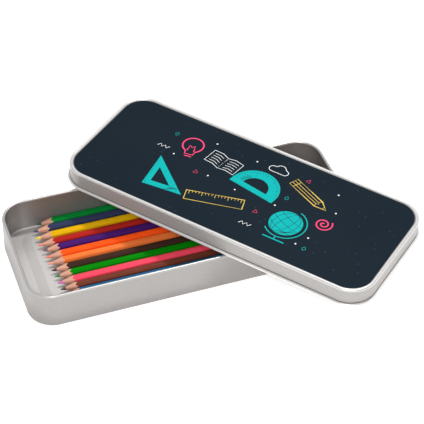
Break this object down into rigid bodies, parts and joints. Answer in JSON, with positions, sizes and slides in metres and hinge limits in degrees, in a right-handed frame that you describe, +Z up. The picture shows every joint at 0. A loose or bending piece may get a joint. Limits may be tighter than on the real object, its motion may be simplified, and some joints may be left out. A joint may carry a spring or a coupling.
{
  "type": "colored pencil tin",
  "caption": "Round-cornered slip-lid tin: an open tray holds a row of sharpened hexagonal colored pencils, and its framed lid lies askew across the rim.",
  "frame": {"origin": "middle of the tray's base, on the plane that the tray stands on", "axes": "+X along the tray's long side, away from the pencil points; +Y towards the back of the tray; +Z up"},
  "size_m": [0.2336, 0.2036, 0.0367],
  "materials": {
    "tray_tinplate": "satin tinplate with a very fine grain",
    "lid_tinplate": "satin tinplate with a very fine grain",
    "picture_plate": "thin aluminium plate printed dark slate with small coloured doodles, satin",
    "lacquer_dark_green": "lacquered wood, bare where it is sharpened",
    "lead_dark_green": "waxy pigment, matte",
    "lacquer_navy": "lacquered wood, bare where it is sharpened",
    "lead_navy": "waxy pigment, matte",
    "lacquer_yellow": "lacquered wood, bare where it is sharpened",
    "lead_yellow": "waxy pigment, matte",
    "lacquer_red": "lacquered wood, bare where it is sharpened",
    "lead_red": "waxy pigment, matte",
    "lacquer_purple": "lacquered wood, bare where it is sharpened",
    "lead_purple": "waxy pigment, matte",
    "lacquer_orange": "lacquered wood, bare where it is sharpened",
    "lead_orange": "waxy pigment, matte",
    "lacquer_light_orange": "lacquered wood, bare where it is sharpened",
    "lead_light_orange": "waxy pigment, matte",
    "lacquer_black": "lacquered wood, bare where it is sharpened",
    "lead_black": "waxy pigment, matte",
    "lacquer_green": "lacquered wood, bare where it is sharpened",
    "lead_green": "waxy pigment, matte",
    "lacquer_pink": "lacquered wood, bare where it is sharpened",
    "lead_pink": "waxy pigment, matte",
    "lacquer_brown": "lacquered wood, bare where it is sharpened",
    "lead_brown": "waxy pigment, matte",
    "lacquer_blue": "lacquered wood, bare where it is sharpened",
    "lead_blue": "waxy pigment, matte"
  },
  "bodies": {
    "tray": {"tray": "tray_tinplate"},
    "lid": {"lid_shell": "lid_tinplate", "lid_plate": "picture_plate"},
    "pencil_dark_green": {"dark_green_casing": "lacquer_dark_green", "dark_green_lead": "lead_dark_green"},
    "pencil_navy": {"navy_casing": "lacquer_navy", "navy_lead": "lead_navy"},
    "pencil_yellow": {"yellow_casing": "lacquer_yellow", "yellow_lead": "lead_yellow"},
    "pencil_red": {"red_casing": "lacquer_red", "red_lead": "lead_red"},
    "pencil_purple": {"purple_casing": "lacquer_purple", "purple_lead": "lead_purple"},
    "pencil_orange": {"orange_casing": "lacquer_orange", "orange_lead": "lead_orange"},
    "pencil_light_orange": {"light_orange_casing": "lacquer_light_orange", "light_orange_lead": "lead_light_orange"},
    "pencil_black": {"black_casing": "lacquer_black", "black_lead": "lead_black"},
    "pencil_green": {"green_casing": "lacquer_green", "green_lead": "lead_green"},
    "pencil_pink": {"pink_casing": "lacquer_pink", "pink_lead": "lead_pink"},
    "pencil_brown": {"brown_casing": "lacquer_brown", "brown_lead": "lead_brown"},
    "pencil_blue": {"blue_casing": "lacquer_blue", "blue_lead": "lead_blue"}
  },
  "joints": [
    {"name": "lid_lift", "type": "slide", "parent": "tray", "child": "lid", "axis": [0, 0, 1], "range_m": [0, 0.12]},
    {"name": "dark_green_slide", "type": "slide", "parent": "tray", "child": "pencil_dark_green", "axis": [1, 0, 0], "range_m": [-0.015, 0.0019]},
    {"name": "navy_slide", "type": "slide", "parent": "tray", "child": "pencil_navy", "axis": [1, 0, 0], "range_m": [-0.0165, 0.0155]},
    {"name": "yellow_slide", "type": "slide", "parent": "tray", "child": "pencil_yellow", "axis": [1, 0, 0], "range_m": [-0.018, 0.0185]},
    {"name": "red_slide", "type": "slide", "parent": "tray", "child": "pencil_red", "axis": [1, 0, 0], "range_m": [-0.018, 0.019]},
    {"name": "purple_slide", "type": "slide", "parent": "tray", "child": "pencil_purple", "axis": [1, 0, 0], "range_m": [-0.0195, 0.0175]},
    {"name": "orange_slide", "type": "slide", "parent": "tray", "child": "pencil_orange", "axis": [1, 0, 0], "range_m": [-0.0195, 0.0175]},
    {"name": "light_orange_slide", "type": "slide", "parent": "tray", "child": "pencil_light_orange", "axis": [1, 0, 0], "range_m": [-0.0195, 0.0175]},
    {"name": "black_slide", "type": "slide", "parent": "tray", "child": "pencil_black", "axis": [1, 0, 0], "range_m": [-0.02, 0.017]},
    {"name": "green_slide", "type": "slide", "parent": "tray", "child": "pencil_green", "axis": [1, 0, 0], "range_m": [-0.0205, 0.0165]},
    {"name": "pink_slide", "type": "slide", "parent": "tray", "child": "pencil_pink", "axis": [1, 0, 0], "range_m": [-0.021, 0.016]},
    {"name": "brown_slide", "type": "slide", "parent": "tray", "child": "pencil_brown", "axis": [1, 0, 0], "range_m": [-0.021, 0.016]},
    {"name": "blue_slide", "type": "slide", "parent": "tray", "child": "pencil_blue", "axis": [1, 0, 0], "range_m": [-0.0215, 0.0155]}
  ]
}
